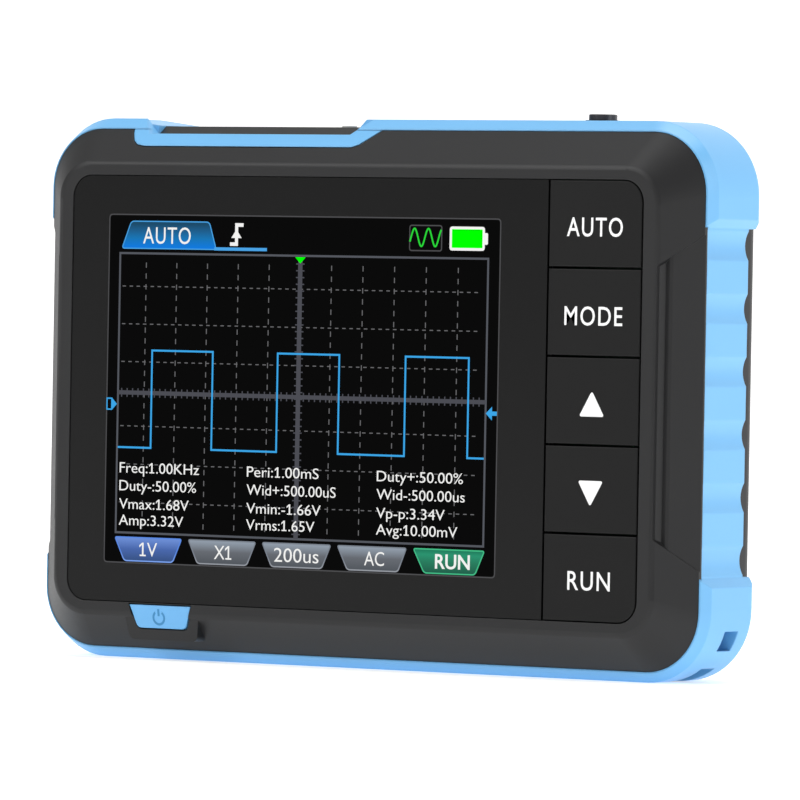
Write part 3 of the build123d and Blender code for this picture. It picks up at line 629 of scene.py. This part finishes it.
def header():
    """The top row: the mode tab and its line, the edge sign, the wave sign and the battery sign."""
    head = tab("mode_tab", on_field, (-33.5, -21.45), (-34.95, -20.3), (17.6, 21.15), 0.14, 0.45,
               HEAD_TAB, TAB_EDGE_BLUE)
    line = bars("mode_line", on_field, [(-20.7, -12.7, 17.55, 17.95)], TAB_EDGE_BLUE)
    word = lettering("mode_word", on_grid, "AUTO", -27.95, 18.3, 7.3, 2.05, LIT_WHITE, 0.0, True, 1.1)
    set_in(join("mode_label", [head, line, word]), ROOT)
    stem = bars("edge_stem", on_field, [
        (-17.55, -17.1, 18.15, 21.0),
        (-17.1, -16.3, 20.55, 21.0),
        (-18.3, -17.55, 18.15, 18.6),
    ], LIT_WHITE)
    arrow = pointer("edge_arrow", on_grid, (-17.33, 19.5), 0.75, 0, LIT_WHITE, 0.0, (1.2, 0.95))
    set_in(join("edge_sign", [stem, arrow]), ROOT)
    ring = tab("wave_box", on_field, WAVE_BOX_X, WAVE_BOX_X, WAVE_BOX_Z, 0.15, 0.35, FIELD, EDGE_LINE)
    wave = []
    for step in range(SINE_STEPS + 1):
        along = step / SINE_STEPS
        rise = SINE_HEIGHT * sin(2 * pi * (along * SINE_PERIODS - 0.08))
        wave.append((WAVE_BOX_X[0] + 0.12 + along * SINE_LENGTH, 19.55 + rise))
    curve = ribbon("wave_line", on_axis, wave, 0.13, SINE_GREEN)
    set_in(join("wave_sign", [ring, curve]), ROOT)
    cell_x, cap_x = (14.5, 19.65), (19.6, 20.1)
    cell = tab("battery_outline", on_field, cell_x, cell_x, (18.0, 20.95), 0.33, 0.35, LIT_GREEN, LIT_WHITE)
    cap = tab("battery_cap", on_field, cap_x, cap_x, (18.75, 20.2), 0.05, 0.18, LIT_WHITE, LIT_WHITE)
    set_in(join("battery_sign", [cell, cap]), ROOT)


def markers():
    """The trigger's place on the grid's top line, the channel's level and the trigger's level."""
    top = pointer("trigger_place", on_axis, (AXIS_X, 16.62), 0.72, 180, LIT_GREEN, 0.0, (1.25, 0.72))
    set_in(top, ROOT)
    flag_x = (-36.85, -35.95)
    body = tab("channel_flag", on_field, flag_x, flag_x, (-2.75, -1.2), 0.17, 0.0, FIELD, TRACE_BLUE)
    tip = pointer("channel_tip", on_field, (-35.75, -1.98), 0.5, -90, TRACE_BLUE, 0.0, (1.75, 1.0))
    set_in(join("channel_level", [body, tip]), ROOT)
    shaft = bars("level_shaft", on_axis, [(21.0, 21.85, -2.12, -1.6)], TRACE_BLUE)
    head = pointer("level_tip", on_axis, (20.85, -1.86), 0.6, 90, TRACE_BLUE, 0.0, (1.6, 1.0))
    set_in(join("trigger_level", [shaft, head]), ROOT)


# the readouts: where each column starts, and its words with their widths
READOUTS = (
    (-34.6, ("Freq:1.00KHz", 12.2), ("Duty-:50.00%", 11.8), ("Vmax:1.68V", 10.7), ("Amp:3.32V", 9.9)),
    (-15.1, ("Peri:1.00mS", 10.8), ("Wid+:500.00uS", 13.4), ("Vmin:-1.66V", 11.2), ("Vrms:1.65V", 10.3)),
    (4.4, ("Duty+:50.00%", 12.7), ("Wid-:500.00us", 13.0), ("Vp-p:3.34V", 10.1), ("Avg:10.00mV", 12.0)),
)
READOUT_LINES = (-10.6, -12.85, -15.15, -17.2)
READOUT_CAP = 1.3


def readouts():
    """The twelve measured values over the lower part of the grid."""
    made = []
    for x, *lines in READOUTS:
        for z, (words, width) in zip(READOUT_LINES, lines):
            made.append(lettering("value", on_trace, words, x, z, width, READOUT_CAP, LIT_WHITE, -0.004))
    set_in(join("readouts", made), ROOT)


# name, word, its middle and width, the tab's span at its head and at its foot, fill, boldness
FOOT_TABS = (
    ("scale", "1V", -29.8, 2.3, (-35.3, -24.8), (-33.75, -26.2), "blue", -0.004),
    ("probe", "X1", -18.75, 2.3, (-24.0, -13.5), (-22.5, -14.9), "grey", -0.004),
    ("time", "200us", -7.45, 6.7, (-12.75, -2.2), (-11.25, -3.6), "grey", -0.004),
    ("coupling", "AC", 4.2, 2.95, (-1.45, 9.05), (0.15, 7.75), "grey", -0.004),
    ("state", "RUN", 15.75, 5.1, (9.85, 20.5), (11.55, 19.1), "green", 0.016),
)
FOOT_TAB_Z = (-21.75, -18.65)
FOOT_WORD_Z = -21.05
FOOT_CAP = 1.72


def footer():
    """The row of five tabs along the foot of the screen."""
    for name, words, centre, width, top, foot, colour, weight in FOOT_TABS:
        shape = tab(name + "_tab", on_field, top, foot, FOOT_TAB_Z, 0.16, 0.4,
                    FOOT_FILLS[colour], FOOT_EDGES[colour])
        word = lettering(name + "_word", on_axis, words, centre, FOOT_WORD_Z, width, FOOT_CAP, LIT_WHITE,
                         weight, True)
        set_in(join(name + "_label", [shape, word]), ROOT)


grid()
square_wave()
header()
markers()
readouts()
footer()


# ---------------------------------------------------------------- legends

KEY_MID = 35.55                      # the key column's middle
KEY_CAP = 2.25
KEY_DROP = 1.12                      # from the middle of a word down to its line
ARROW_SIZE = 2.05
ARROW_CORNER = 0.35
for body, words, z, width in (("auto_button", "AUTO", 21.1, 8.0), ("mode_button", "MODE", 10.3, 8.3),
                              ("run_button", "RUN", -21.85, 6.1)):
    legend = lettering(words.lower() + "_legend", KEY_Y + LAYER, words, KEY_MID, z - KEY_DROP, width,
                       KEY_CAP, WHITE_INK, 0.006, True, 1.14)
    set_in(legend, body)
for body, z, turn in (("up_button", -0.85, 0), ("down_button", -10.72, 180)):
    arrow = pointer(body.split("_")[0] + "_legend", KEY_Y + LAYER, (KEY_MID, z), ARROW_SIZE, turn, WHITE_INK,
                    ARROW_CORNER, (1.02, 1.02))
    set_in(arrow, body)


POWER_SLOPE = 9.25                   # degrees that the power key's face leans back from upright
POWER_MARK = (-28.35, -9.464, -28.73)    # the sign's middle, which lies on that face
RING_RADIUS = 0.82
STROKE = 0.3
GAP_HALF = 0.42


def power_symbol():
    """The power sign on the power key: a broken ring with a bar in its gap, made in mm and then scaled."""
    bpy.ops.object.select_all(action="DESELECT")
    bpy.ops.mesh.primitive_torus_add(major_radius=RING_RADIUS, minor_radius=STROKE / 2,
                                     major_segments=48, minor_segments=8)
    ring = bpy.context.object
    pick(ring, lambda co: co.y > 0 and abs(co.x) < GAP_HALF)
    bpy.ops.object.mode_set(mode="EDIT")
    bpy.ops.mesh.delete(type="VERT")
    bpy.ops.mesh.select_all(action="SELECT")
    bpy.ops.mesh.fill_holes(sides=0)
    bpy.ops.object.mode_set(mode="OBJECT")
    bpy.ops.object.select_all(action="DESELECT")
    bpy.ops.mesh.primitive_cube_add(size=1, location=(0, 0.68, 0), scale=(STROKE, 0.9, STROKE))
    sign = join("power_symbol", [ring, settle("bar")])
    sign.scale = (MM, MM, INK / STROKE * MM)
    sign.rotation_euler = (pi / 2 + radians(POWER_SLOPE), 0, 0)
    x, y, z = POWER_MARK
    sign.location = place(x, y * MM + LAYER / 2, z)
    return settle("power_symbol", BLUE_INK)


set_in(power_symbol(), "power_button")


# ---------------------------------------------------------------- studio

FLOOR_SIZE = (9.0, 5.0)               # the studio is in metres
FLOOR_RISE = 4.0
FLOOR_CURVE = 1.5
FLOOR_GLOW = 0.5
AIR_GLOW = 0.33
# name, place, size in metres, and power in watts
LAMPS = (
    ("key_softbox", (-0.9, -1.3, 1.3), (1.2, 1.0), 19.0),
    ("side_softbox", (1.5, 0.1, 0.7), (0.9, 1.2), 8.0),
    ("top_softbox", (0.0, 0.2, 1.6), (1.4, 0.8), 13.0),
)
LAMP_AIM = Vector((0, 0, 0.03))


def stage_floor():
    """A pale floor that sweeps up behind the instrument."""
    bpy.ops.object.select_all(action="DESELECT")
    bpy.ops.mesh.primitive_plane_add(size=1, location=(0, 0, 0))
    bpy.context.object.scale = (*FLOOR_SIZE, 1)
    floor = settle("floor")
    pick(floor, lambda co: co.y > 0)
    bpy.ops.object.mode_set(mode="EDIT")
    bpy.ops.mesh.extrude_region_move(TRANSFORM_OT_translate={"value": (0, 0, FLOOR_RISE)})
    bpy.ops.object.mode_set(mode="OBJECT")
    pick(floor, lambda co: co.y > 0 and co.z < 0.1)
    bpy.ops.object.mode_set(mode="EDIT")
    bpy.ops.mesh.bevel(offset=FLOOR_CURVE, segments=16)
    bpy.ops.object.mode_set(mode="OBJECT")
    bpy.ops.object.shade_smooth()
    # matt white paper: a fine fibre, and a little glow in place of the lamps behind it
    material, at = blank("matt_paper_sweep")
    fibre = noise(material, at.outputs["Object"], 2.5, Detail=2.0)
    bump = add_node(material, "ShaderNodeBump", {"Strength": 0.02, "Distance": 0.2 * MM},
                    {"Height": fibre.outputs["Fac"]})
    shader = add_node(material, "ShaderNodeBsdfPrincipled",
                      {"Base Color": linear("#F2F2F2"), "Roughness": 0.9, "Specular IOR Level": 0.1,
                       "Emission Color": linear("#FFFFFF"), "Emission Strength": FLOOR_GLOW},
                      {"Normal": bump.outputs["Normal"]})
    floor.data.materials.append(close(material, shader))


def lights():
    """Even light from all round, a large soft lamp in front, one at the side and one above."""
    world = bpy.data.worlds.new("studio_air")
    bpy.context.scene.world = world
    world.use_nodes = True
    air = world.node_tree.nodes["Background"]
    air.inputs["Color"].default_value = linear("#FFFFFF")
    air.inputs["Strength"].default_value = AIR_GLOW
    for name, at, size, power in LAMPS:
        data = bpy.data.lights.new(name, "AREA")
        data.shape = "RECTANGLE"
        data.size, data.size_y = size
        data.energy = power
        light = bpy.data.objects.new(name, data)
        light.location = at
        light.rotation_euler = (LAMP_AIM - Vector(at)).to_track_quat("-Z", "Y").to_euler()
        bpy.context.scene.collection.objects.link(light)


CAMERA_LENS = 366.75                  # mm, on a sensor 36 mm wide
CAMERA_TURN = 33.618                  # degrees to the right of the screen's normal
CAMERA_TIP = 0.847                    # degrees above the level
CAMERA_ROLL = 1.018                   # degrees
CAMERA_PLACE = (1007.9, 6.361, -0.681)   # mm back, right and up from the middle of the front


def camera():
    """The viewing camera: nearly level, a third of a right angle to the right, with a long lens."""
    data = bpy.data.cameras.new("camera")
    data.sensor_width = 36.0
    data.lens = CAMERA_LENS
    data.clip_start = 0.01
    data.clip_end = 50.0
    turn, tip, roll = radians(CAMERA_TURN), radians(CAMERA_TIP), radians(CAMERA_ROLL)
    back = Vector((sin(turn) * cos(tip), -cos(turn) * cos(tip), sin(tip)))
    level = Vector((0, 0, 1)).cross(back).normalized()
    rise = back.cross(level)
    right = level * cos(roll) + rise * sin(roll)
    up = rise * cos(roll) - level * sin(roll)
    away, across, above = CAMERA_PLACE
    front_middle = Vector((0, FRONT_Y * MM, MIDDLE * MM))
    spot = (back * away + right * across + up * above) * MM + front_middle
    obj = bpy.data.objects.new("camera", data)
    obj.matrix_world = Matrix.Translation(spot) @ Matrix((right, up, back)).transposed().to_4x4()
    bpy.context.scene.collection.objects.link(obj)
    bpy.context.scene.camera = obj


stage_floor()
lights()
camera()
bpy.context.scene.view_settings.view_transform = "Standard"
